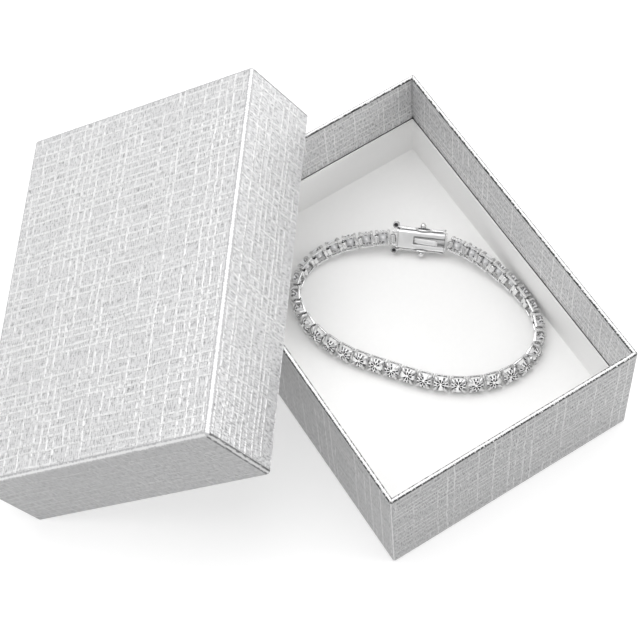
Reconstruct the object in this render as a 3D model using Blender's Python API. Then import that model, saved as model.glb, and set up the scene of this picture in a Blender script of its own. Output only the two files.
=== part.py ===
"""Tennis bracelet standing on its edge in an open gift box, with the box's lid leaning on it.

Metres, +Z up. The origin is the middle of the box base's underside, +X runs along the short side
of the box and +Y along its long side.
"""
import math

import bmesh
import bpy
from mathutils import Matrix, Vector

MM = 0.001

# Gift box: card walls under linen-textured silver paper.
BOX_W = 74.8 * MM             # short side, outside
BOX_L = 104.0 * MM            # long side, outside
BOX_H = 40.0 * MM
CARD = 1.2 * MM
BOX_EDGE = 0.45 * MM          # rounding of the paper over the base's edges
LID_GAP = 0.35 * MM           # play between the lid and the base when it is on
LID_H = 25.7 * MM
LID_EDGE = 0.9 * MM
LID_YAW = math.radians(-36.8)
LID_CROSS = 52.0 * MM         # the lid's raised edge crosses the base's left wall this far from its back
LID_ALONG = 36.0 * MM         # and this far from the front end of that edge
REST = 0.3 * MM               # air where the lid lies on the base's rim

# White card insert in the base: a raised floor with a low upstand round it.
INSERT_PLAY = 0.15 * MM
INSERT_WALL = 0.5 * MM
INSERT_FLOOR = 6.2 * MM       # height of the floor that the bracelet stands on
INSERT_TOP = 21.0 * MM

# Links: one round stone each, in a square basket of four claws between two rails.
LINKS = 34
STONE_D = 4.0 * MM
CLAW_R = 0.36 * MM
RAIL_H = 0.55 * MM
RAIL_T = 0.6 * MM
BASKET_X = STONE_D / 2 + 0.10 * MM     # half length of a basket along the chain
BASKET_Z = STONE_D / 2 + 0.15 * MM     # half height of a basket
LINK_GAP = 0.42 * MM                   # between one basket and the next
PITCH = 2 * BASKET_X + LINK_GAP
HINGE_Y = -1.3 * MM                    # the hinges lie this far behind the middle of the stone
GIRDLE_Y = 0.35 * MM
CROWN_H = 0.155 * STONE_D
PAVILION_H = 0.43 * STONE_D
PIN_R = 0.22 * MM
PIN_INSET = 0.4 * MM                   # from the end of the basket to the middle of its pin
EYE_CLEAR = 0.27 * MM
EYE_WALL = 0.26 * MM
EYE_IN = PIN_R + EYE_CLEAR
EYE_OUT = EYE_IN + EYE_WALL
EYE_Z = 1.0 * MM                       # half height of the knuckle round a pin
TAB_T = 0.42 * MM                      # thickness of the flat tab that carries a knuckle
PIN_X = -(BASKET_X - PIN_INSET)
EYE_X = PIN_X + PITCH

# Clasp: a flat box with a window, the folded tongue in it, and a safety latch on each long edge.
CLASP_SPAN = 16.2 * MM                 # from the pin at its left end to the pin of the first link
CLASP_LEFT = -CLASP_SPAN / 2 + 1.0 * MM
TONGUE_PLATE = 0.5 * MM
PLATE_RIGHT = CLASP_SPAN / 2 - 1.1 * MM
CLASP_RIGHT = PLATE_RIGHT - TONGUE_PLATE - 0.1 * MM
CLASP_Z = 2.6 * MM
CLASP_BACK = -1.6 * MM                 # inner face, towards the wrist
CLASP_FRONT = 1.4 * MM
CLASP_WALL = 0.45 * MM
CLASP_CHAMFER = 0.45 * MM
WINDOW_X = -2.4 * MM                   # left end of the window
WINDOW_Z = 1.2 * MM
LEAF_T = 0.32 * MM
LEAF_Z = WINDOW_Z - 0.2 * MM
LATCH_WIRE = 0.27 * MM                 # radius
LATCH_PIN_R = 0.36 * MM
LATCH_EYE_IN = 0.52 * MM
LATCH_EYE_OUT = 0.92 * MM
LATCH_EYE_T = 0.50 * MM
LATCH_HALF = 0.63 * MM                 # each eye is this far to the side of the middle
LATCH_X = CLASP_LEFT - 0.55 * MM       # pivot of the latches, left of the clasp's body
LATCH_LIE = CLASP_Z + LATCH_WIRE + 0.1 * MM
LATCH_Z = CLASP_Z + LATCH_EYE_OUT + 0.12 * MM
LATCH_TIP = CLASP_RIGHT - 0.1 * MM
STUD_R = 0.90 * MM
STUD_NECK = 0.34 * MM
STUD_Z = LATCH_LIE + LATCH_WIRE + STUD_R - 0.15 * MM
LATCH_BOW = STUD_R + 0.14 * MM + LATCH_WIRE    # the latch wires pass the stud this far from its middle

# How the bracelet lies: the line of its hinges is an oval, slightly egg-shaped, near the right wall.
LOOP_FROM_RIGHT = 30.4 * MM            # its middle, from the base's right side
LOOP_X = BOX_W / 2 - LOOP_FROM_RIGHT
LOOP_Y = 3.7 * MM
LOOP_LONG = 33.9 * MM
LOOP_SHORT = 20.2 * MM
LOOP_TURN = math.radians(-51.5)
LOOP_EGG = 0.9 * MM
LOOP_EGG_AT = math.radians(33.5)
LOOP_START = math.radians(31.6)        # where the first link meets the clasp
LEAN = math.radians(48.0)              # the links lean back by this much at the front and at the clasp
RAMP = 7                               # the lifted clasp is reached over this many links
STAND = 0.1 * MM                       # air under the bracelet

SILVER = (0.80, 0.81, 0.82, 1.0)
PAPER = (0.66, 0.66, 0.67, 1.0)
WHITE = (0.93, 0.93, 0.92, 1.0)


def clear_scene():
    for obj in list(bpy.data.objects):
        bpy.data.objects.remove(obj, do_unlink=True)


def material(name, colour, roughness, metallic):
    mat = bpy.data.materials.new(name)
    mat.use_nodes = True
    skin = mat.node_tree.nodes["Principled BSDF"]
    skin.inputs["Base Color"].default_value = colour
    skin.inputs["Roughness"].default_value = roughness
    skin.inputs["Metallic"].default_value = metallic
    mat.diffuse_color = colour
    return mat


def collection(name):
    coll = bpy.data.collections.new(name)
    bpy.context.scene.collection.children.link(coll)
    return coll


def new_object(name, bm, coll):
    bmesh.ops.recalc_face_normals(bm, faces=bm.faces)
    mesh = bpy.data.meshes.new(name)
    bm.to_mesh(mesh)
    bm.free()
    obj = bpy.data.objects.new(name, mesh)
    coll.objects.link(obj)
    return obj


def block(x, y, z):
    """A plain block between three pairs of bounds."""
    bm = bmesh.new()
    bmesh.ops.create_cube(bm, size=1.0)
    for v in bm.verts:
        v.co = Vector((x[v.co.x > 0], y[v.co.y > 0], z[v.co.z > 0]))
    return bm


def prism(outline, axis, low, high):
    """A flat outline pushed along one axis. The outline's two numbers are the other two axes in order."""
    bm = bmesh.new()
    rings = []
    for depth in (low, high):
        ring = []
        for a, b in outline:
            co = {"x": (depth, a, b), "y": (a, depth, b), "z": (a, b, depth)}[axis]
            ring.append(bm.verts.new(co))
        rings.append(ring)
    count = len(outline)
    for i in range(count):
        j = (i + 1) % count
        bm.faces.new((rings[0][i], rings[0][j], rings[1][j], rings[1][i]))
    bm.faces.new(rings[0])
    bm.faces.new(rings[1])
    return bm


def round_bar(centre, axis, low, high, radius, sides):
    """A round pin through the point centre, given on the other two axes."""
    outline = [(centre[0] + radius * math.cos(2 * math.pi * i / sides),
                centre[1] + radius * math.sin(2 * math.pi * i / sides)) for i in range(sides)]
    return prism(outline, axis, low, high)


def ring_bar(centre, axis, low, high, inner, outer, sides, reach=None):
    """A round eye with a hole. With reach, its left half is drawn out into a flat tab up to there."""
    bm = bmesh.new()
    loops = []
    for depth in (low, high):
        for radius in (inner, outer):
            loop = []
            for i in range(sides):
                turn = 2 * math.pi * (i + 0.5) / sides
                a, b = centre[0] + radius * math.cos(turn), centre[1] + radius * math.sin(turn)
                if reach is not None and radius == outer and math.cos(turn) < -0.7:
                    a, b = reach, centre[1] + math.copysign(TAB_T / 2, math.sin(turn))
                co = {"y": (a, depth, b), "z": (a, b, depth)}[axis]
                loop.append(bm.verts.new(co))
            loops.append(loop)
    low_in, low_out, high_in, high_out = loops
    for i in range(sides):
        j = (i + 1) % sides
        bm.faces.new((low_in[i], low_in[j], low_out[j], low_out[i]))
        bm.faces.new((high_in[i], high_in[j], high_out[j], high_out[i]))
        bm.faces.new((low_out[i], low_out[j], high_out[j], high_out[i]))
        bm.faces.new((low_in[i], low_in[j], high_in[j], high_in[i]))
    return bm


def tube(points, radii, sides, closed=False):
    """A round wire through the points, with a radius at each."""
    bm = bmesh.new()
    count = len(points)
    rings = []
    side = None
    for i, point in enumerate(points):
        before = points[i - 1] if i or closed else point
        after = points[(i + 1) % count] if i < count - 1 or closed else point
        along = (after - before).normalized()
        if side is None:
            side = along.orthogonal().normalized()
        side = (side - along * side.dot(along)).normalized()
        other = along.cross(side)
        ring = []
        for k in range(sides):
            turn = 2 * math.pi * k / sides
            ring.append(bm.verts.new(point + (side * math.cos(turn) + other * math.sin(turn)) * radii[i]))
        rings.append(ring)
    spans = count if closed else count - 1
    for i in range(spans):
        a, b = rings[i], rings[(i + 1) % count]
        shift = 0
        if closed and i == spans - 1:
            shift = min(range(sides), key=lambda s: sum((a[k].co - b[(k + s) % sides].co).length
                                                        for k in range(sides)))
        for k in range(sides):
            m = (k + 1) % sides
            bm.faces.new((a[k], a[m], b[(m + shift) % sides], b[(k + shift) % sides]))
    if not closed:
        bm.faces.new(rings[0])
        bm.faces.new(rings[-1])
    return bm


def ball(centre, radius, sides, rings):
    bm = bmesh.new()
    bmesh.ops.create_uvsphere(bm, u_segments=sides, v_segments=rings, radius=radius)
    bmesh.ops.translate(bm, verts=bm.verts, vec=centre)
    return bm


def fuse(name, parts, coll, cut=()):
    """One closed body from parts that run into each other, less what is cut away."""
    body = new_object(name, parts[0], coll)
    helpers = []
    for operation, group in (("UNION", parts[1:]), ("DIFFERENCE", cut)):
        for part in group:
            helper = new_object(name + "_part", part, coll)
            helpers.append(helper)
            mod = body.modifiers.new("shape", "BOOLEAN")
            mod.operation = operation
            mod.solver = "EXACT"
            mod.object = helper
    bpy.context.view_layer.update()
    seen = body.evaluated_get(bpy.context.evaluated_depsgraph_get())
    mesh = bpy.data.meshes.new_from_object(seen)
    bpy.data.objects.remove(body, do_unlink=True)
    for helper in helpers:
        bpy.data.objects.remove(helper, do_unlink=True)
    bm = bmesh.new()
    bm.from_mesh(mesh)
    bmesh.ops.remove_doubles(bm, verts=bm.verts, dist=0.002 * MM)
    bmesh.ops.dissolve_degenerate(bm, edges=bm.edges, dist=0.002 * MM)
    bmesh.ops.triangulate(bm, faces=bm.faces)
    bm.to_mesh(mesh)
    bm.free()
    mesh.name = name
    return mesh


def stone():
    """A round brilliant: eight-sided table, crown of kites and triangles, cone of sixteen facets."""
    bm = bmesh.new()
    table_r, girdle_r = 0.28 * STONE_D, 0.5 * STONE_D
    table, girdle = [], []
    for i in range(8):
        turn = math.pi / 4 * i
        table.append(bm.verts.new((table_r * math.cos(turn), GIRDLE_Y + CROWN_H, table_r * math.sin(turn))))
    for i in range(16):
        turn = math.pi / 8 * i
        girdle.append(bm.verts.new((girdle_r * math.cos(turn), GIRDLE_Y, girdle_r * math.sin(turn))))
    culet = bm.verts.new((0, GIRDLE_Y - PAVILION_H, 0))
    bm.faces.new(table)
    for i in range(8):
        even, odd, last = girdle[2 * i], girdle[2 * i + 1], girdle[2 * i - 1]
        bm.faces.new((table[i], last, even))
        bm.faces.new((table[i], even, odd))
        bm.faces.new((table[i], odd, table[(i + 1) % 8]))
    for i in range(16):
        bm.faces.new((girdle[i], girdle[(i + 1) % 16], culet))
    return bm


def claw(sx, sz):
    """One claw: up from the corner of the basket, in past the girdle and over the crown."""
    back = (BASKET_X - CLAW_R - 0.04 * MM, BASKET_Z - CLAW_R - 0.04 * MM)
    lean = (STONE_D / 2 + 0.9 * CLAW_R) / math.sqrt(2)
    hold = (0.43 * STONE_D) / math.sqrt(2)
    points = [Vector((sx * back[0], HINGE_Y - RAIL_T / 2 + 0.1 * MM, sz * back[1])),
              Vector((sx * lean, GIRDLE_Y, sz * lean)),
              Vector((sx * hold, GIRDLE_Y + CROWN_H - 0.05 * MM, sz * hold))]
    return tube(points, [CLAW_R, CLAW_R, 0.8 * CLAW_R], 4)


def rail(x, sz, inner):
    return block(x, (HINGE_Y - RAIL_T / 2, HINGE_Y + RAIL_T / 2),
                 sorted((sz * inner, sz * (inner + RAIL_H))))


def knuckle(x, reach, half):
    """Flat tab with an eye that goes round the neighbour's pin."""
    return ring_bar((x, HINGE_Y), "z", -half, half, EYE_IN, EYE_OUT, 8, reach)


def link_mesh(coll):
    """Stone, claws, two rails, the pin at one end and the knuckle at the other, all one body."""
    inner = BASKET_Z - RAIL_H
    bar_x = (BASKET_X - 0.75 * MM, BASKET_X - 0.35 * MM)
    parts = [rail((-BASKET_X, BASKET_X), sz, inner) for sz in (-1, 1)]
    parts += [claw(sx, sz) for sx in (-1, 1) for sz in (-1, 1)]
    parts.append(stone())
    parts.append(round_bar((PIN_X, HINGE_Y), "z", -inner - RAIL_H / 2, inner + RAIL_H / 2, PIN_R, 6))
    parts.append(block(bar_x, (HINGE_Y - 0.25 * MM, HINGE_Y + 0.25 * MM),
                       (-inner - RAIL_H / 3, inner + RAIL_H / 3)))
    parts.append(knuckle(EYE_X, bar_x[0] + 0.1 * MM, EYE_Z))
    return fuse("link", parts, coll)


def clasp_box_mesh(coll):
    """The box with its window, the pin at its left end, the latch pivots and the two ball studs."""
    def section(grow):
        back, front, top = CLASP_BACK - grow, CLASP_FRONT + grow, CLASP_Z + grow
        c = CLASP_CHAMFER
        return [(back + c, -top), (front - c, -top), (front, -top + c), (front, top - c),
                (front - c, top), (back + c, top), (back, top - c), (back, -top + c)]
    inner = BASKET_Z - RAIL_H
    end = CLASP_SPAN / 2 + PIN_INSET
    body = prism(section(0), "x", CLASP_LEFT, CLASP_RIGHT)
    parts = [body, prism(section(0.12 * MM), "x", CLASP_LEFT - 0.05 * MM, CLASP_LEFT + 0.45 * MM)]
    parts += [rail((-end, CLASP_LEFT + 0.2 * MM), sz, inner) for sz in (-1, 1)]
    parts.append(round_bar((-CLASP_SPAN / 2, HINGE_Y), "z", -inner - RAIL_H / 2, inner + RAIL_H / 2,
                           PIN_R, 6))
    for sz in (-1, 1):
        foot = [(CLASP_LEFT + 0.75 * MM, sz * (CLASP_Z - 0.2 * MM)), (CLASP_LEFT, sz * (CLASP_Z - 0.2 * MM))]
        head = [(LATCH_X + 0.5 * MM * math.cos(t), sz * (LATCH_Z + 0.5 * MM * math.sin(t)))
                for t in (math.radians(a) for a in (230, 180, 130, 80, 30))]
        parts.append(prism(foot + head, "y", -0.25 * MM, 0.25 * MM))
        parts.append(round_bar((LATCH_X, sz * LATCH_Z), "y", -1.0 * MM, 1.0 * MM, LATCH_PIN_R, 8))
        parts.append(round_bar((0, 0), "z", *sorted((sz * (CLASP_Z - 0.2 * MM), sz * STUD_Z)), STUD_NECK, 8))
        parts.append(ball(Vector((0, 0, sz * STUD_Z)), STUD_R, 8, 6))
    cavity = block((CLASP_LEFT + CLASP_WALL, CLASP_RIGHT + 1 * MM),
                   (CLASP_BACK + CLASP_WALL, CLASP_FRONT - CLASP_WALL),
                   (-CLASP_Z + CLASP_WALL, CLASP_Z - CLASP_WALL))
    window = block((WINDOW_X, CLASP_RIGHT + 1 * MM),
                   (CLASP_BACK - 1 * MM, CLASP_BACK + CLASP_WALL + 0.2 * MM), (-WINDOW_Z, WINDOW_Z))
    return fuse("clasp_box", parts, coll, [cavity, window])


def strip(path, thickness, half):
    """A bent leaf: a path in the XY plane given a thickness and a width."""
    left, right = [], []
    for i, (x, y) in enumerate(path):
        before = Vector(path[max(i - 1, 0)])
        after = Vector(path[min(i + 1, len(path) - 1)])
        along = (after - before).normalized()
        out = Vector((-along.y, along.x)) * thickness / 2
        left.append((x + out.x, y + out.y))
        right.append((x - out.x, y - out.y))
    bm = bmesh.new()
    rows = [[bm.verts.new((x, y, z)) for x, y in side] for z in (-half, half) for side in (left, right)]
    low_l, low_r, high_l, high_r = rows
    for i in range(len(path) - 1):
        for a, b in ((low_l, low_r), (high_l, high_r), (low_l, high_l), (low_r, high_r)):
            bm.faces.new((a[i], a[i + 1], b[i + 1], b[i]))
    for i in (0, -1):
        bm.faces.new((low_l[i], low_r[i], high_r[i], high_l[i]))
    return bm


def clasp_tongue_mesh(coll):
    """End plate, the spring leaf folded back on itself with its thumb lip, and the knuckle to the chain."""
    front = CLASP_FRONT - CLASP_WALL - 0.15 * MM - LEAF_T / 2
    fold = CLASP_LEFT + CLASP_WALL + 1.0 * MM
    back = CLASP_BACK + CLASP_WALL / 2
    path = [(PLATE_RIGHT - TONGUE_PLATE / 2, front), (fold + 0.5 * MM, front), (fold, front - 0.3 * MM),
            (fold + 0.45 * MM, front - 0.65 * MM), (WINDOW_X, front - 1.0 * MM), (3.3 * MM, back + 0.1 * MM),
            (4.0 * MM, back - 0.05 * MM), (4.35 * MM, CLASP_BACK - 0.45 * MM)]
    plate = block((PLATE_RIGHT - TONGUE_PLATE, PLATE_RIGHT), (CLASP_BACK, CLASP_FRONT),
                  (-CLASP_Z + 0.15 * MM, CLASP_Z - 0.15 * MM))
    parts = [plate, strip(path, LEAF_T, LEAF_Z),
             knuckle(CLASP_SPAN / 2, PLATE_RIGHT - TONGUE_PLATE / 2, 0.8 * EYE_Z)]
    return fuse("clasp_tongue", parts, coll)


def latch_mesh(coll):
    """A long wire loop that lies round the ball stud, with two eyes on the pivot pin."""
    half, wide = LATCH_HALF, LATCH_BOW
    slim = half + 0.03 * MM
    shape = [(LATCH_X + 0.62 * MM, half, LATCH_Z - 0.25 * MM),
             (LATCH_X + 2.0 * MM, half, LATCH_LIE + 0.05 * MM),
             (-2.3 * MM, slim, LATCH_LIE), (-0.9 * MM, wide, LATCH_LIE), (0.9 * MM, wide, LATCH_LIE),
             (2.3 * MM, slim, LATCH_LIE), (LATCH_TIP - 1.6 * MM, 0.45 * MM, LATCH_LIE),
             (LATCH_TIP - 0.35 * MM, 0.3 * MM, LATCH_LIE + 0.3 * MM)]
    there = [Vector(p) for p in shape]
    tip = Vector((LATCH_TIP, 0, LATCH_LIE + 0.42 * MM))
    home = [Vector((p.x, -p.y, p.z)) for p in reversed(there)]
    points = there + [tip] + home
    parts = [tube(points, [LATCH_WIRE] * len(points), 6)]
    for sy in (-1, 1):
        low, high = sy * half - LATCH_EYE_T / 2, sy * half + LATCH_EYE_T / 2
        parts.append(ring_bar((LATCH_X, LATCH_Z), "y", low, high, LATCH_EYE_IN, LATCH_EYE_OUT, 10))
    return fuse("latch", parts, coll)


def loop_point(turn, grow):
    """Where the line of hinges passes, seen from above, at an angle round the middle of the oval."""
    c, s = math.cos(turn - LOOP_TURN), math.sin(turn - LOOP_TURN)
    far, near = LOOP_LONG * grow, LOOP_SHORT * grow
    r = far * near / math.hypot(near * c, far * s) + LOOP_EGG * math.cos(3 * (turn - LOOP_EGG_AT))
    return Vector((LOOP_X + r * math.cos(turn), LOOP_Y + r * math.sin(turn)))


def bisect(low, high, above):
    """The value between low and high where above() changes from false to true."""
    for _ in range(60):
        middle = (low + high) / 2
        if above(middle):
            high = middle
        else:
            low = middle
    return (low + high) / 2


def walk(grow):
    """Angles of the hinges, link after link clockwise, and of the point one clasp further on."""
    turns = [LOOP_START]
    for i in range(LINKS + 1):
        reach = PITCH if i < LINKS else CLASP_SPAN
        start = loop_point(turns[-1], grow)
        back = bisect(0.0, 1.2, lambda d: (loop_point(turns[-1] - d, grow) - start).length > reach)
        turns.append(turns[-1] - back)
    return turns


def lean_at(along, total):
    """How far a link leans back: to the front at the front of the loop, outwards at the clasp."""
    middle_of_clasp = total - CLASP_SPAN / 2
    return -LEAN * math.cos(2 * math.pi * (along - middle_of_clasp) / total)


def stand_height(lean):
    """Height of the hinge line of a link that leans and stands on its lowest corner."""
    corners = ((HINGE_Y - RAIL_T / 2, BASKET_Z), (GIRDLE_Y + CROWN_H / 2, BASKET_Z),
               (GIRDLE_Y + CROWN_H, STONE_D * 0.43))
    return -min((y - HINGE_Y) * math.sin(lean) - z * math.cos(lean) for y, z in corners)


def placings():
    """A placing for each link and, last, for the clasp."""
    grow = bisect(0.85, 1.15, lambda g: walk(g)[-1] > LOOP_START - 2 * math.pi)
    turns = walk(grow)[:-1]
    total = LINKS * PITCH + CLASP_SPAN
    at_clasp = lean_at(total - CLASP_SPAN / 2, total)
    low_points = ((0, STUD_Z, STUD_R), (LATCH_HALF + LATCH_EYE_T / 2, LATCH_Z, LATCH_EYE_OUT))
    lowest = min((y - HINGE_Y) * math.sin(at_clasp) - z * math.cos(at_clasp) - r for y, z, r in low_points)
    lift = -lowest - stand_height(at_clasp)
    hinges = []
    for i, turn in enumerate(turns):
        from_clasp = min(i, LINKS - i) / RAMP
        rise = lift * 0.5 * (1 + math.cos(math.pi * min(from_clasp, 1.0)))
        height = INSERT_FLOOR + STAND + stand_height(lean_at(i * PITCH, total)) + rise
        spot = loop_point(turn, grow)
        hinges.append(Vector((spot.x, spot.y, height)))
    result = []
    for i in range(LINKS + 1):
        start, end = hinges[i], hinges[(i + 1) % (LINKS + 1)]
        middle = i * PITCH + PITCH / 2 if i < LINKS else total - CLASP_SPAN / 2
        lean = lean_at(middle, total)
        along = (end - start).normalized()
        outward = Vector((-along.y, along.x, 0)).normalized()
        facing = outward * math.cos(lean) + Vector((0, 0, math.sin(lean)))
        facing = (facing - along * facing.dot(along)).normalized()
        up = along.cross(facing)
        origin = start - along * PIN_X if i < LINKS else (start + end) / 2
        origin = origin - facing * HINGE_Y
        frame = Matrix((along, facing, up)).transposed().to_4x4()
        frame.translation = origin
        result.append(frame)
    return result


def smooth(mesh, angle):
    for poly in mesh.polygons:
        poly.use_smooth = True
    mesh.set_sharp_from_angle(angle=math.radians(angle))


def place(name, mesh, frame, coll, mat, pivot=None):
    """An object from a mesh made in its own frame. A pivot becomes the object's origin."""
    obj = bpy.data.objects.new(name, mesh)
    coll.objects.link(obj)
    if pivot is not None:
        mesh.transform(Matrix.Translation(-pivot))
        frame = frame @ Matrix.Translation(pivot)
    obj.matrix_world = frame
    mesh.materials.clear()
    mesh.materials.append(mat)
    return obj


def shell(name, size, wall, floor, edge, rim_too, coll, cutters, mat):
    """An open card box, standing on the origin with its open side up."""
    w, l, h = size
    bm = block((-w / 2, w / 2), (-l / 2, l / 2), (0, h))
    picked = [e for e in bm.edges if rim_too or min(v.co.z for v in e.verts) < h / 2]
    bmesh.ops.bevel(bm, geom=picked, offset=edge, segments=2, affect="EDGES", profile=0.5)
    obj = new_object(name, bm, coll)
    obj.data.materials.append(mat)
    hollow = new_object(name + "_hollow", block((-w / 2 + wall, w / 2 - wall), (-l / 2 + wall, l / 2 - wall),
                                                (floor, h + 5 * MM)), cutters)
    hollow.display_type = "WIRE"
    hollow.hide_render = True
    mod = obj.modifiers.new("hollow", "BOOLEAN")
    mod.operation = "DIFFERENCE"
    mod.solver = "EXACT"
    mod.object = hollow
    return obj, hollow


def main():
    clear_scene()
    coll = collection("tennis_bracelet_in_gift_box")
    cutters = collection("cutters")
    cutters.hide_render = True

    silver = material("polished_silver", SILVER, 0.18, 1.0)
    clasp_silver = material("clasp_silver", SILVER, 0.22, 1.0)
    paper = material("silver_paper", PAPER, 0.45, 0.35)
    lid_paper = material("lid_paper", PAPER, 0.45, 0.35)
    white = material("white_card", WHITE, 0.7, 0.0)

    # Base, insert and lid.
    shell("box_base", (BOX_W, BOX_L, BOX_H), CARD, CARD, BOX_EDGE, True, coll, cutters, paper)
    inset = CARD + INSERT_PLAY
    low = CARD + 0.1 * MM
    insert_size = (BOX_W - 2 * inset, BOX_L - 2 * inset, INSERT_TOP - low)
    insert, hollow = shell("box_insert", insert_size, INSERT_WALL, INSERT_FLOOR - low, 0.15 * MM, False,
                           coll, cutters, white)
    for obj in (insert, hollow):
        obj.location.z = low
    lid_w = BOX_W + 2 * (CARD + LID_GAP)
    lid_l = BOX_L + 2 * (CARD + LID_GAP)
    lid, lid_hollow = shell("box_lid", (lid_w, lid_l, LID_H), CARD, CARD, LID_EDGE, False, coll, cutters,
                            lid_paper)
    tilt = math.asin((BOX_H + REST) / (lid_w - CARD))
    upside_down = Matrix.Translation((lid_w / 2, lid_l / 2, LID_H)) @ Matrix.Rotation(math.pi, 4, "Y")
    turned = Matrix.Rotation(LID_YAW, 4, "Z")
    crossing = Vector((-BOX_W / 2, BOX_L / 2 - LID_CROSS, 0))
    corner = crossing - turned @ Vector(((lid_w - CARD) * math.cos(tilt), LID_ALONG, 0))
    leaning = Matrix.Translation(corner) @ turned @ Matrix.Rotation(-tilt, 4, "Y") @ upside_down
    for obj in (lid, lid_hollow):
        obj.matrix_world = leaning

    # Bracelet.
    frames = placings()
    pattern = link_mesh(coll)
    for i in range(LINKS):
        place("link_%02d" % (i + 1), pattern.copy(), frames[i], coll, silver)
    bpy.data.meshes.remove(pattern)
    at_clasp = frames[-1]
    box = clasp_box_mesh(coll)
    smooth(box, 35)
    place("clasp_box", box, at_clasp, coll, clasp_silver)
    tongue = clasp_tongue_mesh(coll)
    smooth(tongue, 35)
    place("clasp_tongue", tongue, at_clasp, coll, clasp_silver)
    latch = latch_mesh(coll)
    smooth(latch, 50)
    pivot = Vector((LATCH_X, 0, LATCH_Z))
    place("latch_top", latch.copy(), at_clasp, coll, clasp_silver, pivot)
    half_turn = Matrix.Rotation(math.pi, 4, "X")
    place("latch_bottom", latch, at_clasp @ half_turn, coll, clasp_silver, pivot)

    bpy.context.view_layer.update()
    for sign, name in ((1, "latch_top"), (-1, "latch_bottom")):
        spot = at_clasp @ Vector((LATCH_X, 0, sign * LATCH_Z))
        way = at_clasp.to_3x3() @ Vector((0, -sign, 0))
        print(name, "pivot", [round(c, 6) for c in spot], "axis", [round(c, 6) for c in way])


main()
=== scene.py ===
# %% [markdown]
# # A tennis bracelet in its gift box
#
# A tennis bracelet is a chain of equal links, each holding one round stone in four claws. Here it
# stands on its edge in an open card box, closed by its box clasp, and the lid of the box leans
# against the base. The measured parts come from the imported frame. This notebook gives each of
# them its real surface: linen embossed silver paper, white card, polished silver and cut stones.

# %% Load the measured parts
import math
import random

import bmesh
import bpy
from mathutils import Matrix, Vector


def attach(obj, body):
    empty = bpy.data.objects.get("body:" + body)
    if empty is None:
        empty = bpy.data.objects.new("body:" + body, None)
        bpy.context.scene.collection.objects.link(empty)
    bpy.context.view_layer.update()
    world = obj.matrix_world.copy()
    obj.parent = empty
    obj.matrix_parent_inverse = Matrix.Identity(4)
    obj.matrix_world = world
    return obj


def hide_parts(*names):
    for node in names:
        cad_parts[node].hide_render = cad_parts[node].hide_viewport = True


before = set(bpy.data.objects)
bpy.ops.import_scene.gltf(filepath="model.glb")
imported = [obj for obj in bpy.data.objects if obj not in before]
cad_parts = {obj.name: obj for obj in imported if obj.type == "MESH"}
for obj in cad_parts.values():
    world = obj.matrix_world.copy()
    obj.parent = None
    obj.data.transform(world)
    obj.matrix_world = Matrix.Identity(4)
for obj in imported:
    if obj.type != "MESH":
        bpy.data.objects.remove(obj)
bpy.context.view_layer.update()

MM = 0.001
print("measured parts:", len(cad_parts))

# %% [markdown]
# ## Where everything stands
#
# The origin is the middle of the base's underside. X runs along the short side of the box, Y
# along the long side and Z up. The sizes are the ones that the box and the bracelet were drawn
# from, so the new surfaces lie where the plain solids do. Only the claws are fuller here, by 0.08
# mm: claws as full as that would have made too many faces in the plain solids.

# %% Sizes of the box
BOX_W, BOX_L, BOX_H = 74.8 * MM, 104.0 * MM, 40.0 * MM
CARD = 1.2 * MM
LID_GAP = 0.35 * MM
LID_W, LID_L, LID_H = BOX_W + 2 * (CARD + LID_GAP), BOX_L + 2 * (CARD + LID_GAP), 25.7 * MM
LID_YAW = math.radians(-36.8)
LID_CROSS, LID_ALONG, LID_REST = 52.0 * MM, 36.0 * MM, 0.3 * MM
INSERT_PLAY, INSERT_WALL = 0.15 * MM, 0.5 * MM
INSERT_FLOOR, INSERT_TOP = 6.2 * MM, 21.0 * MM
print("base:", [round(size / MM, 1) for size in (BOX_W, BOX_L, BOX_H)], "mm")
print("lid:", [round(size / MM, 1) for size in (LID_W, LID_L, LID_H)], "mm")

# %% Sizes of a link
LINKS = 34
STONE_D = 4.0 * MM
CLAW_R = 0.44 * MM
RAIL_H, RAIL_T = 0.55 * MM, 0.6 * MM
BASKET_X, BASKET_Z = STONE_D / 2 + 0.10 * MM, STONE_D / 2 + 0.15 * MM
PITCH = 2 * BASKET_X + 0.42 * MM
HINGE_Y, GIRDLE_Y = -1.3 * MM, 0.35 * MM
CROWN_H, PAVILION_H = 0.155 * STONE_D, 0.43 * STONE_D
PIN_R, PIN_X = 0.22 * MM, 0.4 * MM - BASKET_X
EYE_X = PIN_X + PITCH
EYE_IN, EYE_OUT, EYE_Z, TAB_T = 0.49 * MM, 0.75 * MM, 1.0 * MM, 0.42 * MM
print("from hinge to hinge:", round(PITCH / MM, 2), "mm")

# %% Sizes of the clasp
CLASP_SPAN = 16.2 * MM
CLASP_LEFT, PLATE_RIGHT = 1.0 * MM - CLASP_SPAN / 2, CLASP_SPAN / 2 - 1.1 * MM
CLASP_RIGHT = PLATE_RIGHT - 0.6 * MM
CLASP_Z, CLASP_BACK, CLASP_FRONT = 2.6 * MM, -1.6 * MM, 1.4 * MM
CLASP_WALL, CLASP_CHAMFER = 0.45 * MM, 0.45 * MM
WINDOW_X, WINDOW_Z, LEAF_T = -2.4 * MM, 1.2 * MM, 0.32 * MM
LATCH_WIRE, LATCH_PIN_R = 0.27 * MM, 0.36 * MM
LATCH_EYE_IN, LATCH_EYE_OUT = 0.52 * MM, 0.92 * MM
LATCH_HALF, LATCH_X = 0.63 * MM, CLASP_LEFT - 0.55 * MM
LATCH_LIE, LATCH_Z = CLASP_Z + LATCH_WIRE + 0.1 * MM, CLASP_Z + LATCH_EYE_OUT + 0.12 * MM
LATCH_TIP, STUD_R, STUD_NECK = CLASP_RIGHT - 0.1 * MM, 0.90 * MM, 0.34 * MM
STUD_Z = LATCH_LIE + LATCH_WIRE + STUD_R - 0.15 * MM
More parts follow.
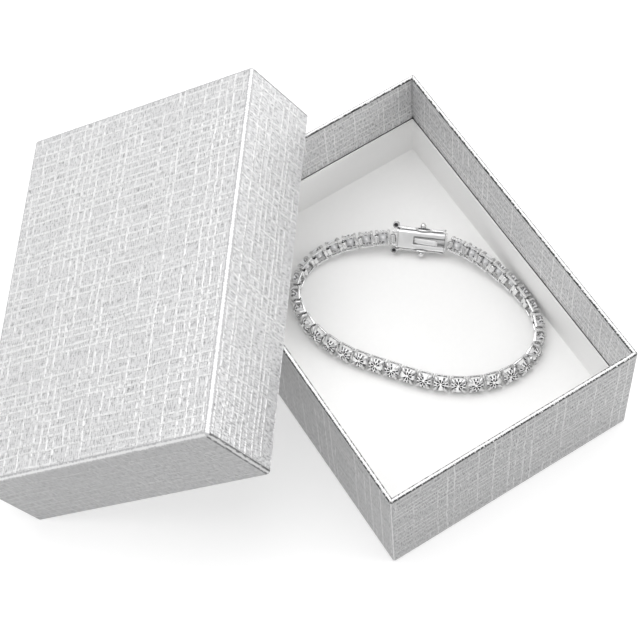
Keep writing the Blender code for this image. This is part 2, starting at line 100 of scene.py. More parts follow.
LATCH_BOW = STUD_R + 0.14 * MM + LATCH_WIRE
print("clasp from hinge to hinge:", round(CLASP_SPAN / MM, 1), "mm")

# %% [markdown]
# ## The line of the bracelet
#
# Every link is the same piece, so only its place changes. The hinges lie on a slightly egg-shaped
# oval. Walking round it with a fixed step gives each link its two hinges, and the last, longer
# step is the clasp. The links lean back, which shows their stones at the front and the inside of
# the clasp behind.

# %% Walk round the oval
LOOP_X, LOOP_Y = BOX_W / 2 - 30.4 * MM, 3.7 * MM
LOOP_LONG, LOOP_SHORT, LOOP_TURN = 33.9 * MM, 20.2 * MM, math.radians(-51.5)
LOOP_EGG, LOOP_EGG_AT, LOOP_START = 0.9 * MM, math.radians(33.5), math.radians(31.6)
LEAN, RAMP, STAND = math.radians(48.0), 7, 0.1 * MM


def loop_point(turn, grow):
    """A point of the oval, seen from above, at this turn round its middle."""
    c, s = math.cos(turn - LOOP_TURN), math.sin(turn - LOOP_TURN)
    far, near = LOOP_LONG * grow, LOOP_SHORT * grow
    r = far * near / math.hypot(near * c, far * s) + LOOP_EGG * math.cos(3 * (turn - LOOP_EGG_AT))
    return Vector((LOOP_X + r * math.cos(turn), LOOP_Y + r * math.sin(turn)))


def bisect(low, high, above):
    """The value between low and high from which on the test is passed."""
    for _ in range(60):
        middle = (low + high) / 2
        low, high = (low, middle) if above(middle) else (middle, high)
    return (low + high) / 2


def walk(grow):
    """Where the hinges lie on an oval that is this much larger."""
    turns = [LOOP_START]
    for i in range(LINKS + 1):
        reach, start = (PITCH if i < LINKS else CLASP_SPAN), loop_point(turns[-1], grow)
        turns.append(turns[-1] - bisect(0.0, 1.2, lambda d: (
            loop_point(turns[-1] - d, grow) - start).length > reach))
    return turns


def lean_at(along, total):
    """How far a link leans back at this way along the bracelet."""
    return -LEAN * math.cos(2 * math.pi * (along - total + CLASP_SPAN / 2) / total)


def stand_height(lean):
    """How high the hinge line is above the lowest corner of a leaning link."""
    corners = ((HINGE_Y - RAIL_T / 2, BASKET_Z), (GIRDLE_Y + CROWN_H / 2, BASKET_Z),
               (GIRDLE_Y + CROWN_H, STONE_D * 0.43))
    return -min((y - HINGE_Y) * math.sin(lean) - z * math.cos(lean) for y, z in corners)


def placings():
    """A placing for each link and, last, for the clasp."""
    least, most = 0.85, 1.15
    grow = bisect(least, most, lambda g: walk(g)[-1] > LOOP_START - 2 * math.pi)
    turns = walk(grow)[:-1]
    total = LINKS * PITCH + CLASP_SPAN
    at_clasp = lean_at(total - CLASP_SPAN / 2, total)
    low_points = ((0, STUD_Z, STUD_R), (LATCH_HALF + 0.25 * MM, LATCH_Z, LATCH_EYE_OUT))
    lowest = min((y - HINGE_Y) * math.sin(at_clasp) - z * math.cos(at_clasp) - r
                 for y, z, r in low_points)
    lift = -lowest - stand_height(at_clasp)
    hinges = []
    for i, turn in enumerate(turns):
        rise = lift * 0.5 * (1 + math.cos(math.pi * min(min(i, LINKS - i) / RAMP, 1.0)))
        spot = loop_point(turn, grow)
        stand = INSERT_FLOOR + STAND + stand_height(lean_at(i * PITCH, total))
        hinges.append(Vector((spot.x, spot.y, stand + rise)))
    result = []
    for i in range(LINKS + 1):
        start, end = hinges[i], hinges[(i + 1) % (LINKS + 1)]
        lean = lean_at(i * PITCH + PITCH / 2 if i < LINKS else total - CLASP_SPAN / 2, total)
        along = (end - start).normalized()
        level = Vector((-along.y, along.x, 0)).normalized()
        facing = level * math.cos(lean) + Vector((0, 0, math.sin(lean)))
        facing = (facing - along * facing.dot(along)).normalized()
        place = Matrix((along, facing, along.cross(facing))).transposed().to_4x4()
        origin = start - along * PIN_X if i < LINKS else (start + end) / 2
        place.translation = origin - facing * HINGE_Y
        result.append(place)
    return result


places = placings()
clasp_place = places[-1]
print("clasp stands at", [round(c / MM, 1) for c in clasp_place.translation], "mm")

# %% [markdown]
# ## Shader maths in plain Python
#
# Surfaces are drawn by node trees. To keep them readable, one small class wraps a socket, and a
# sum or a product of such sockets adds its Math node. A second class holds a material and adds
# every other node.

# %% A socket that can be calculated with
class Signal:
    """An output socket that can be added, multiplied and so on."""

    def __init__(self, tree, socket):
        self.tree, self.socket = tree, socket

    def maths(self, operation, *values):
        """A Math node on the values that are given."""
        node = self.tree.nodes.new("ShaderNodeMath")
        node.operation = operation
        for i, value in enumerate(values):
            feed(self.tree, node.inputs[i], value)
        return Signal(self.tree, node.outputs[0])

    def __add__(self, other): return self.maths("ADD", self, other)
    def __radd__(self, other): return self.maths("ADD", other, self)
    def __sub__(self, other): return self.maths("SUBTRACT", self, other)
    def __rsub__(self, other): return self.maths("SUBTRACT", other, self)
    def __mul__(self, other): return self.maths("MULTIPLY", self, other)
    def __rmul__(self, other): return self.maths("MULTIPLY", other, self)
    def __truediv__(self, other): return self.maths("DIVIDE", self, other)
    def floor(self): return self.maths("FLOOR", self)
    def size(self): return self.maths("ABSOLUTE", self)
    def root(self): return self.maths("SQRT", self)
    def most(self, other): return self.maths("MAXIMUM", self, other)


def feed(tree, socket, value):
    """Link a signal to the socket, or set it to a plain value."""
    if isinstance(value, Signal):
        tree.links.new(value.socket, socket)
    else:
        socket.default_value = value


# %% A material with its own way of adding nodes
class Finish:
    """A material, and what its surface is made of."""

    def __init__(self, name, colour, roughness, metallic):
        self.material = bpy.data.materials.new(name)
        self.material.use_nodes = True
        self.tree = self.material.node_tree
        self.skin = self.tree.nodes["Principled BSDF"]
        self.set("Base Color", (*colour, 1.0))
        self.set("Roughness", roughness)
        self.set("Metallic", metallic)
        self.material.diffuse_color = (*colour, 1.0)

    def set(self, socket, value):
        feed(self.tree, self.skin.inputs[socket], value)

    def add(self, kind, settings=None, values=None, output=0):
        """Any other node: its settings first, then the values or links of its sockets."""
        node = self.tree.nodes.new("ShaderNode" + kind)
        for key, value in (settings or {}).items():
            setattr(node, key, value)
        for key, value in (values or {}).items():
            feed(self.tree, node.inputs[key], value)
        return Signal(self.tree, node.outputs[output])

    def soft_step(self, value, low, high):
        return self.add("MapRange", {"interpolation_type": "SMOOTHSTEP"},
                        {"Value": value, "From Min": low, "From Max": high})

    def blend(self, share, first, second):
        return self.add("Mix", {"data_type": "RGBA"}, {0: share, 6: first, 7: second}, output=2)

    def noise(self, where, scale, detail=1.0):
        return self.add("TexNoise", None, {"Vector": where, "Scale": scale, "Detail": detail})

    def point(self, x, y, z=0.0):
        return self.add("CombineXYZ", None, {"X": x, "Y": y, "Z": z})

    def split(self, vector):
        node = self.tree.nodes.new("ShaderNodeSeparateXYZ")
        feed(self.tree, node.inputs[0], vector)
        return [Signal(self.tree, output) for output in node.outputs]

    def flat(self, layer):
        """The two flat coordinates of a sheet."""
        return self.split(self.add("UVMap", {"uv_map": layer}))[:2]

    def here(self):
        """The place on the piece, in its own metres."""
        return self.add("TexCoord", output=3)

    def openness(self, reach):
        """Near 1 in the open, and less where something is closer than reach."""
        return self.add("AmbientOcclusion", {"samples": 8}, {"Distance": reach}, output=1)

    def relief(self, height, depth, strength=1.0):
        self.set("Normal", self.add("Bump", None, {"Height": height, "Distance": depth,
                                                   "Strength": strength}))


# %% [markdown]
# ## Silver linen paper
#
# The card of the box is wrapped in silver paper with a linen emboss: fine threads pressed in both
# directions, with a few bolder bright ones that make a loose plaid. Noise that is stretched along
# one axis gives the fine threads, and narrow ribs give them an even beat. A bold thread is drawn
# in every cell of a grid, shifted by a random share and faded along its length, so the plaid
# isn't regular. Where the paper meets another surface, ambient occlusion paints a dark line, as
# painted shade. The pattern lies in the sheet's own flat coordinates, in metres, and so it
# turns round the corners of the box as the real sheet does.

# %% Bold threads
SWAY, SWAY_RUN, SWAY_REACH = 1.1 * MM, 9 * MM, 25 * MM


def grey(tone, cool=1.0):
    """A grey, and how much stronger its blue is."""
    return (tone, tone, tone * cool, 1.0)


def bold_threads(finish, across, along, pitch, width, run, seed, share):
    """One thread for each pitch across the sheet. Run is about how far it goes before it fades,
    and share how much of it shows."""
    place = finish.point(along / SWAY_RUN, across / SWAY_REACH, seed)
    across = across + SWAY * (finish.noise(place, 1.0) - 0.5)
    cell = (across / pitch).floor()
    chance = finish.add("TexWhiteNoise", {"noise_dimensions": "1D"}, {"W": cell + seed})
    off = (across / pitch - cell - (chance * 0.5 + 0.25)).size()
    line = 1.0 - finish.soft_step(off, 0.2 * width / pitch, 1.2 * width / pitch)
    patch = finish.noise(finish.point(along / run, cell * 3.7 + seed), 1.0)
    return line * finish.soft_step(patch + 0.4 * (chance - 0.5), 0.84 - share, 1.14 - share)


# %% Linen paper
ROW_PITCH, ROW_RUN, ROW_SHARE = 2.1 * MM, 18 * MM, 0.62
COLUMN_PITCH, COLUMN_RUN, COLUMN_SHARE = 2.4 * MM, 8 * MM, 0.52
RIB, PATCH, CONTACT_SHADE, TURN = 0.14 * MM, 12 * MM, 1.5 * MM, 1 * MM
PAPER_GLOSS, PAPER_METAL = 0.40, 0.35


def linen_paper(name, dark, light, bright, thread, grain, hatch, depth, shaded=0.0):
    """The tones are those of the hollows, the fine threads and the bold ones. Thread is the width
    of the bold ones and grain that of the fine ones, hatch is the share that runs along the height,
    and depth is how deep the emboss is. Shaded says how far along the sheet a darker wall starts,
    which turns away from the light. The flat faces lie beyond its end."""
    finish = Finish(name, (light,) * 3, PAPER_GLOSS, PAPER_METAL)
    u, v = finish.flat("sheet")
    warp = finish.noise(finish.point(u / grain, v / (5 * grain)), 1.0)
    weft = finish.noise(finish.point(u / (4 * grain), v / grain, 5.0), 1.0)
    slow = finish.noise(finish.point(u / PATCH, v / PATCH, 9.0), 1.0)
    ribs = (u / RIB + 9.0 * slow).maths("SINE")
    woven = warp * hatch + weft * (1.0 - hatch) + 0.12 * ribs
    tone = finish.soft_step(woven, 0.40, 0.60)
    rows = bold_threads(finish, v, u, ROW_PITCH, thread, ROW_RUN, 17.0, ROW_SHARE)
    columns = bold_threads(finish, u, v, COLUMN_PITCH, thread, COLUMN_RUN, 3.0, COLUMN_SHARE)
    plaid = rows.most(columns) * (0.45 + 0.55 * tone)
    pits = finish.soft_step(0.42 - woven + 0.25 * (slow - 0.5), 0.0, 0.07)
    colour = finish.blend(tone, grey(dark, 1.015), grey(light, 1.01))
    colour = finish.blend(pits * 0.6, colour, grey(dark * 0.4, 1.025))
    colour = finish.blend(plaid * 0.80, colour, grey(bright))
    # Painted shade: the wall that turns away from the light is painted darker.
    if shaded:
        starts = finish.soft_step(u, shaded, shaded + TURN)
        ends = finish.soft_step(u, 2 * shaded, 2 * shaded + TURN)
        colour = finish.blend(starts * (1.0 - ends) * 0.65, colour, grey(dark * 0.8, 1.0125))
    # Painted shade: a dark contact line where the paper meets another surface, from ambient
    # occlusion.
    clear = finish.soft_step(finish.openness(CONTACT_SHADE), 0.42, 0.72)
    finish.set("Base Color", finish.blend(clear, grey(dark * 0.2), colour))
    finish.set("Roughness", PAPER_GLOSS - 0.08 * plaid)
    finish.relief(tone * 0.6 + plaid, depth, 0.7)
    return finish.material


# The lid, the base's outside and the lining are one paper. Their tones differ as painted light and
# shade: the lid's and the lining's are lighter, the base's outside darker.
lid_paper = linen_paper("lid_linen_paper", 0.41, 0.71, 0.94,
                        0.46 * MM, 0.32 * MM, 0.70, 0.30 * MM, 2 * LID_L + LID_W - 2 * MM)
base_paper = linen_paper("base_linen_paper", 0.20, 0.39, 0.58,
                         0.34 * MM, 0.32 * MM, 0.74, 0.10 * MM)
lining_paper = linen_paper("lining_linen_paper", 0.38, 0.68, 0.95,
                           0.30 * MM, 0.28 * MM, 0.78, 0.12 * MM)
print("papers:", lid_paper.name, base_paper.name, lining_paper.name)

# %% [markdown]
# ## Pressed folds
#
# Where the paper is folded over an edge of the card, the fold is rubbed flat and the emboss is
# gone. The band has its own tone, lighter as a painted highlight on the rim, on the lid's edges and
# on the base's upright corners, and a broken dark line on both sides, where the emboss starts
# again. The second flat coordinates tell how far across the band a point lies.

# %% Folded edges
DOT, DOT_LENGTH = 0.40 * MM, 1.5 * MM


def pressed_edge(name, tone, trim, ink):
    """Trim is how far from the middle of the band the dark line starts, and ink is its tone. A
    fold line crosses the band in the middle of each corner."""
    finish = Finish(name, (tone,) * 3, 0.35, 0.2)
    u, v = finish.flat("sheet")
    bend, across = finish.flat("band")
    dots = finish.noise(finish.point(u / DOT, v / DOT_LENGTH), 1.0)
    side = (across - 0.5).size()
    line = finish.soft_step(side + 0.8 * (dots - 0.5), trim - 0.02, trim + 0.06)
    crease = 1.0 - finish.soft_step((side - trim + 0.02).size(), 0.03, 0.09)
    fold = 1.0 - finish.soft_step((bend - 0.5).size(), 0.26, 0.46)
    mark = line.most(crease * 0.45).most(fold * 0.8)
    finish.set("Base Color", finish.blend(mark, grey(tone), grey(ink, 1.02)))
    finish.relief(1.0 - mark, 0.03 * MM, 0.5)
    return finish.material


# The rim, the lid's edges and the base's upright corners are painted much lighter than their paper,
# as a painted highlight where the rounded fold catches the light.
edge_highlight_paper = pressed_edge("pressed_edge_highlight_paper", 0.84, 0.21, 0.02)
lid_edge_highlight_paper = pressed_edge("lid_edge_highlight_paper", 0.90, 0.24, 0.46)
corner_paper = pressed_edge("corner_fold_paper", 0.62, 0.22, 0.30)
lid_corner_paper = pressed_edge("lid_corner_paper", 0.60, 0.22, 0.14)
print("materials so far:", len(bpy.data.materials))

# %% [markdown]
# ## White card and polished silver
#
# The insert is smooth white card: nearly plain, with the faintest mottle. The silver is a metal
# with a soft polish that changes a little over the surface. Narrow gaps are painted dark with
# ambient occlusion, as painted shade. The claws are duller and greyer than the rails, and the
# clasp's box is brushed and softer than both; the greyer and lighter tints of the one silver are
# painted shade and painted light.

# %% White card
card = Finish("white_card", (0.90, 0.90, 0.895), 0.55, 0.0)
mottle = card.noise(card.here(), 900.0, 3.0)
card.set("Base Color", card.blend(mottle, (0.89, 0.888, 0.882, 1.0), (0.92, 0.918, 0.912, 1.0)))
card.relief(mottle, 0.01 * MM, 0.4)
white_card = card.material
print("card:", white_card.name)


# %% Polished silver
def polished_silver(name, tint, roughness, reach):
    """Recesses no wider than reach are painted dark, as painted shade."""
    finish = Finish(name, (tint,) * 3, roughness, 1.0)
    wear = finish.noise(finish.here(), 700.0, 3.0)
    finish.set("Roughness", roughness + (wear - 0.5) * 0.12)
    metal = finish.blend(wear, grey(tint * 0.93), grey(tint))
    # Painted shade: recesses are darkened by ambient occlusion.
    clear = finish.soft_step(finish.openness(reach), 0.25, 0.85)
    finish.set("Base Color", finish.blend(clear, (0.16, 0.16, 0.17, 1.0), metal))
    return finish.material


# One silver in several tints: the claws and latches greyer, the clasp's box and leaf lighter, as
# painted shade and painted light.
link_silver = polished_silver("link_silver", 0.90, 0.16, 0.5 * MM)
claw_silver = polished_silver("claw_silver", 0.70, 0.30, 0.5 * MM)
clasp_silver = polished_silver("clasp_silver", 0.92, 0.20, 1.1 * MM)
leaf_silver = polished_silver("leaf_silver", 0.99, 0.44, 0.3 * MM)
box_silver = polished_silver("clasp_box_silver", 0.99, 0.40, 0.5 * MM)
latch_silver = polished_silver("latch_silver", 0.78, 0.22, 1.1 * MM)
# The pivot pins are painted nearly black, as painted shade inside the latch eyes.
recess = Finish("dark_recess", (0.05, 0.05, 0.052), 0.5, 0.6)
recess.set("Roughness", 0.4 + 0.3 * recess.noise(recess.here(), 2000.0, 2.0))
dark_recess = recess.material
print("materials so far:", len(bpy.data.materials))

# %% [markdown]
# ## The look of a cut stone
#
# A round brilliant is clear, and its facets throw the light about, so that one sees dark arrows
# round the middle, dark notches near the edge and grey glints between them. Tracing light through
# 34 stones is slow, and a clear stone doesn't export well. So the stone is opaque and glossy
# here, and the pattern is painted on its crown by the angle and the distance from the middle of
# the table.

# %% Facets by angle and distance
stone = Finish("clear_stone", (0.97, 0.97, 0.97), 0.06, 0.0)
side, forward, height = stone.split(stone.here())
crown = stone.soft_step(forward, GIRDLE_Y - 0.06 * MM, GIRDLE_Y)
out = (side * side + height * height).root() / (STONE_D / 2)
turn = side.maths("ARCTAN2", height, side) / (2 * math.pi) + 0.5


def wedges(count, first, last, wide, share, seed):
    """Dark wedges of painted reflection round the middle: a share of the count, between two radii,
    each up to twice wide of its sector across, and not all equally long."""
    cell = (turn * count).floor()
    off = (turn * count - cell - 0.5).size()
    luck = stone.add("TexWhiteNoise", {"noise_dimensions": "1D"}, {"W": cell + seed})
    reach = stone.add("TexWhiteNoise", {"noise_dimensions": "1D"}, {"W": cell + seed + 50.0})
    inner = stone.soft_step(out, first, first + 0.05)
    outer = 1.0 - stone.soft_step(out - reach * 0.12, last - 0.06, last)
    return (inner * outer * (1.0 - stone.soft_step(off, wide * 0.8, wide))
            * stone.soft_step(luck, 1.0 - share, 1.04 - share))


# %% Paint the stone
# Painted light and shade: the near-white crown, its dark arrows and notches, the grey glints, the
# grey ring at the girdle and the tones of the pavilion below stand for the light that a clear stone
# throws about.
arrows = wedges(8.0, 0.15, 0.57, 0.38, 1.0, 1.0)
notches = wedges(12.0, 0.64, 0.97, 0.30, 0.6, 7.0)
glints = wedges(8.0, 0.48, 0.74, 0.40, 0.5, 13.0)
girdle = stone.soft_step(out, 0.93, 0.99)
shade = stone.blend(glints * 0.5, grey(0.99), (0.40, 0.40, 0.42, 1.0))
shade = stone.blend(girdle * 0.6, shade, (0.30, 0.30, 0.31, 1.0))
shade = stone.blend(notches * 0.95, shade, (0.03, 0.03, 0.035, 1.0))
shade = stone.blend(arrows, shade, (0.008, 0.008, 0.01, 1.0))
# Painted shade: the stone is darker where a claw or a neighbour is close.
clear = stone.soft_step(stone.openness(0.35 * MM), 0.40, 0.80)
shade = stone.blend(clear, (0.10, 0.10, 0.105, 1.0), shade)
below = stone.blend(notches.most(glints) * 0.8, (0.80, 0.80, 0.81, 1.0), (0.06, 0.06, 0.065, 1.0))
stone.set("Base Color", stone.blend(crown, below, shade))
clear_stone = stone.material
print("nodes of the stone:", len(stone.tree.nodes))

# %% [markdown]
# ## Sheets wrapped round a box
#
# Base, lid and insert are all open trays. A tray is a profile, from the edge of its underside up
# the wall, over the rim and down inside, carried round a rectangle with small round corners. Each
# profile point says how far inside the outer size it lies, and how high. The sheet's flat
# coordinates are the way round the tray and the way along the profile. The flat coordinates of a
# band run across a fold, for the materials that need it.

# %% Rectangles and arcs
CORNER_STEPS = 4
CORNER_POINTS = CORNER_STEPS + 1


def rounded_rectangle(w, l, radius):
    points = []
    for cx, cy, start in ((1, -1, -90), (1, 1, 0), (-1, 1, 90), (-1, -1, 180)):
        for k in range(CORNER_POINTS):
            turn = math.radians(start + 90 * k / CORNER_STEPS)
            points.append((cx * (w / 2 - radius) + radius * math.cos(turn),
                           cy * (l / 2 - radius) + radius * math.sin(turn)))
    return points


def arc(inset, z, radius, first, last, steps=4):
    """Profile points on an arc round (inset, z). At 0 degrees it points outwards, at 90 up."""
    return [(inset - radius * math.cos(math.radians(first + (last - first) * k / steps)),
             z + radius * math.sin(math.radians(first + (last - first) * k / steps)))
            for k in range(steps + 1)]


# %% Build a tray from a profile
def show(name, data):
    """A new object in the scene."""
    obj = bpy.data.objects.new(name, data)
    bpy.context.scene.collection.objects.link(obj)
    return obj


TIGHTEST, SHARP_CARD, FLAT_AWAY = 0.12 * MM, math.radians(40), 1.0
MIDDLE = (0.5, 0.5)


def tray(name, w, l, profile, corner, materials, bands=(), folds=None, place=Matrix()):
    """A closed tray. Each band gives its first and last profile point and the number of its
    material. Folds gives the same for the four upright corners."""
    bm = bmesh.new()
    flat, band = bm.loops.layers.uv.new("sheet"), bm.loops.layers.uv.new("band")
    rings, lengths = [], [0.0]
    for k, (inset, z) in enumerate(profile):
        radius = max(corner - inset, TIGHTEST)
        rings.append([bm.verts.new((x, y, z)) for x, y in
                      rounded_rectangle(w - 2 * inset, l - 2 * inset, radius)])
        if k:
            before = profile[k - 1]
            lengths.append(lengths[-1] + math.hypot(inset - before[0], z - before[1]))
    outline = rounded_rectangle(w, l, corner)
    count = len(outline)
    around = [0.0]
    for i in range(count):
        a, b = outline[i], outline[(i + 1) % count]
        around.append(around[-1] + math.hypot(b[0] - a[0], b[1] - a[1]))
    # The walls, with both flat coordinates
    for k in range(len(rings) - 1):
        for i in range(count):
            j = (i + 1) % count
            face = bm.faces.new((rings[k][i], rings[k][j], rings[k + 1][j], rings[k + 1][i]))
            first, last, index = next((b for b in bands if b[0] <= k < b[1]), (k, k + 1, 0))
            wide = lengths[last] - lengths[first]
            ends = [(lengths[n] - lengths[first]) / wide for n in (k, k + 1)]
            low, high = ((ends[0],) * 2, (ends[1],) * 2) if index else (MIDDLE, MIDDLE)
            step = i % CORNER_POINTS
            bends = step < CORNER_STEPS
            turn = (step / CORNER_STEPS, (step + 1) / CORNER_STEPS) if bends else (0.0, 0.0)
            if folds and folds[0] <= k < folds[1] and bends:
                index, low, high, turn = folds[2], turn, turn[::-1], (0.0, 0.0)
            face.material_index = index
            face.smooth = True
            way = (around[i], around[i + 1], around[i + 1], around[i])
            for loop, u, v in zip(face.loops, way, (lengths[k],) * 2 + (lengths[k + 1],) * 2):
                loop[flat].uv = (u, v)
            for loop, s, t in zip(face.loops, turn + turn[::-1], low + high):
                loop[band].uv = (s, t)
    # The underside and the floor, a metre away on the sheet
    for ring, index in ((rings[0][::-1], 0), (rings[-1], len(materials) - 1)):
        face = bm.faces.new(ring)
        face.material_index = index
        for loop in face.loops:
            loop[flat].uv = (loop.vert.co.x + FLAT_AWAY, loop.vert.co.y + FLAT_AWAY)
    mesh = bpy.data.meshes.new(name)
    bm.to_mesh(mesh)
    bm.free()
    mesh.transform(place)
    mesh.set_sharp_from_angle(angle=SHARP_CARD)
    for material in materials:
        mesh.materials.append(material)
    print(name, "faces:", len(mesh.polygons))
    return show(name, mesh)


# %% [markdown]
# ## The base
#
# The paper goes round the bottom edge, up the wall, over the rim and down inside to below the
# insert's edge. At the rim both edges of the card are a little rounded, and the bright line where
# they catch the light is painted on, as a painted highlight.

# %% Base
EDGE, CORNER_R = 0.45 * MM, 0.55 * MM
base_profile = (arc(EDGE, EDGE, EDGE, -90, 0) + arc(EDGE, BOX_H - EDGE, EDGE, 0, 90)
                + arc(CARD - EDGE, BOX_H - EDGE, EDGE, 90, 180) + [(CARD, CARD)])
rim, lining, upright_folds = (5, 14, 1), (14, 15, 3), (4, 5, 2)
base = tray("base_wrapped", BOX_W, BOX_L, base_profile, CORNER_R,
            [base_paper, edge_highlight_paper, corner_paper, lining_paper, white_card], [rim, lining],
            upright_folds)
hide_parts("box_base")
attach(base, "root")

# %% [markdown]
# ## The white insert
#
# A tray of white card stands in the base. Its upstand ends in a soft round edge, and the crease
# where it meets the floor is folded, so it is round as well.

# %% Insert
INSERT_LOW, INSERT_EDGE, INSERT_CORNER = CARD + 0.1 * MM, 0.1 * MM, 0.5 * MM
inset, crease, lip = CARD + INSERT_PLAY, 0.3 * MM, INSERT_WALL / 2
floor_to_wall = [(INSERT_WALL + crease * (1 - math.cos(math.radians(a))),
                  INSERT_FLOOR + crease - crease * math.sin(math.radians(a)))
                 for a in (0, 22.5, 45, 67.5, 90)]
insert_profile = ([(INSERT_EDGE, INSERT_LOW), (0, INSERT_LOW + INSERT_EDGE)]
                  + arc(lip, INSERT_TOP - lip, lip, 0, 180, 6) + floor_to_wall)
insert = tray("insert_card", BOX_W - 2 * inset, BOX_L - 2 * inset, insert_profile, INSERT_CORNER,
              [white_card])
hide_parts("box_insert")
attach(insert, "root")

# %% [markdown]
# ## The lid
#
# The lid is a shallower tray, made open side up and then turned over. One long edge stands on the
# table, and the other is tilted up until it crosses the rim of the base at its hidden corner.

# %% Lid
LID_EDGE, LID_RIM = 1.0 * MM, 0.3 * MM
lid_profile = (arc(LID_EDGE, LID_EDGE, LID_EDGE, -90, 0, 6)
               + arc(LID_RIM, LID_H - LID_RIM, LID_RIM, 0, 90)
               + arc(CARD - LID_RIM, LID_H - LID_RIM, LID_RIM, 90, 180) + [(CARD, CARD)])
tilt = math.asin((BOX_H + LID_REST) / (LID_W - CARD))
turned = Matrix.Rotation(LID_YAW, 4, "Z")
crossing = Vector((-BOX_W / 2, BOX_L / 2 - LID_CROSS, 0))
corner = crossing - turned @ Vector(((LID_W - CARD) * math.cos(tilt), LID_ALONG, 0))
leaning = (Matrix.Translation(corner) @ turned @ Matrix.Rotation(-tilt, 4, "Y")
           @ Matrix.Translation((LID_W / 2, LID_L / 2, LID_H)) @ Matrix.Rotation(math.pi, 4, "Y"))
top_edge, rim, upright_folds = (0, 6, 1), (8, 16, 1), (6, 7, 2)
lid = tray("lid_wrapped", LID_W, LID_L, lid_profile, LID_EDGE,
           [lid_paper, lid_edge_highlight_paper, lid_corner_paper, white_card], [top_edge, rim],
           upright_folds, leaning)
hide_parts("box_lid")
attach(lid, "root")

# %% [markdown]
# ## Small metal shapes
#
# Silver parts are joined from a few shapes: bars with softened edges, round wires that follow a
# line, balls and eyes. Each helper gives a small mesh, and they are collected into one piece.

# %% Bars
BAR_EDGE, RAIL_EDGE = 0.08 * MM, 0.14 * MM


def bar(x, y, z, soften=BAR_EDGE):
    """A bar from the first to the second number along each axis."""
    bm = bmesh.new()
    bmesh.ops.create_cube(bm, size=1.0)
    for v in bm.verts:
        v.co = Vector((x[v.co.x > 0], y[v.co.y > 0], z[v.co.z > 0]))
    if soften:
        bmesh.ops.bevel(bm, geom=bm.edges[:], offset=soften, segments=2, affect="EDGES",
                        profile=0.5)
    return bm


# %% Bent wire
def curve_through(points, steps):
    """More points on a smooth line through the given ones."""
    result = []
    for i in range(len(points) - 1):
        a, b = points[max(i - 1, 0)], points[i]
        c, d = points[i + 1], points[min(i + 2, len(points) - 1)]
        for k in range(steps):
            t = k / steps
            result.append(0.5 * ((2 * b) + (c - a) * t + (2 * a - 5 * b + 4 * c - d) * t * t
                                 + (3 * b - a - 3 * c + d) * t ** 3))
    return result + [points[-1]]


def wire(points, radius, sides=12, round_end=True):
    """A round wire with domed ends. The radius is one number or one for each point."""
    radii = list(radius) if hasattr(radius, "__len__") else [radius] * len(points)
    if round_end:
        for at_end in (False, True):
            tip, near = (points[-1], points[-2]) if at_end else (points[0], points[1])
            r = radii[-1] if at_end else radii[0]
            way = (tip - near).normalized()
            dome = [(tip + way * r * math.sin(math.radians(a)), r * math.cos(math.radians(a)))
                    for a in (30, 60, 85)]
            spots, sizes = [p for p, _ in dome], [q for _, q in dome]
            if at_end:
                points, radii = points + spots, radii + sizes
            else:
                points, radii = spots[::-1] + points, sizes[::-1] + radii
    bm = bmesh.new()
    rings, side = [], None
    for i, point in enumerate(points):
        along = (points[min(i + 1, len(points) - 1)] - points[max(i - 1, 0)]).normalized()
        side = along.orthogonal() if side is None else side - along * side.dot(along)
        side = side.normalized()
        other = along.cross(side)
        rings.append([bm.verts.new(point + (side * math.cos(t) + other * math.sin(t)) * radii[i])
                      for t in (2 * math.pi * k / sides for k in range(sides))])
    for a, b in zip(rings, rings[1:]):
        for k in range(sides):
            m = (k + 1) % sides
            bm.faces.new((a[k], a[m], b[m], b[k]))
    bm.faces.new(rings[0][::-1])
    bm.faces.new(rings[-1])
    return bm


# %% Balls and eyes
def ball(centre, radius):
    bm = bmesh.new()
    bmesh.ops.create_uvsphere(bm, u_segments=20, v_segments=12, radius=radius)
    bmesh.ops.translate(bm, verts=bm.verts, vec=centre)
    return bm


def eye(centre, axis, low, high, inner, outer, sides=24):
    """A round eye with a hole, its edges softened."""
    bm = bmesh.new()
    soft = 0.2 * min(outer - inner, high - low)
    section = [(inner, low + soft), (inner + soft, low), (outer - soft, low),
               (outer, low + soft), (outer, high - soft), (outer - soft, high),
               (inner + soft, high), (inner, high - soft)]
    rings = []
    for i in range(sides):
        turn = 2 * math.pi * i / sides
        ring = []
        for r, depth in section:
            a, b = centre[0] + r * math.cos(turn), centre[1] + r * math.sin(turn)
            ring.append(bm.verts.new({"y": (a, depth, b), "z": (a, b, depth)}[axis]))
        rings.append(ring)
    for i in range(sides):
        a, b = rings[i], rings[(i + 1) % sides]
        for k in range(len(section)):
            m = (k + 1) % len(section)
            bm.faces.new((a[k], b[k], b[m], a[m]))
    return bm


# %% Join and place
SHARP_METAL = math.radians(35)


def gather(name, parts, materials, smooth=True):
    """One mesh from several small ones."""
    whole = bmesh.new()
    for part in parts:
        bmesh.ops.recalc_face_normals(part, faces=part.faces)
        mesh = bpy.data.meshes.new("part")
        part.to_mesh(mesh)
        part.free()
        whole.from_mesh(mesh)
        bpy.data.meshes.remove(mesh)
    mesh = bpy.data.meshes.new(name)
    whole.to_mesh(mesh)
    whole.free()
    for material in materials:
        mesh.materials.append(material)
    if smooth:
        for face in mesh.polygons:
            face.use_smooth = True
        mesh.set_sharp_from_angle(angle=SHARP_METAL)
    return mesh


def put(name, mesh, place, body, node=None):
    """Place a piece on its body, with the measured part that it stands for."""
    obj = show(name, mesh)
    obj.matrix_world = place
    if node:
        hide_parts(node)
    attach(obj, body)


# %% [markdown]
# ## One round stone
#
# A round brilliant has a flat table, eight star facets, eight kites, sixteen upper and sixteen
# lower girdle facets and eight long pavilion facets that meet in the culet. Every facet is flat,
# which needs the corners of the stars and of the long facets to lie at the right depth.

# %% Cut the stone
TABLE_R, GIRDLE_R, GIRDLE_T = 0.28 * STONE_D, 0.5 * STONE_D, 0.02 * STONE_D
STAR_R, LOWER_R = 0.379 * STONE_D, 0.115 * STONE_D


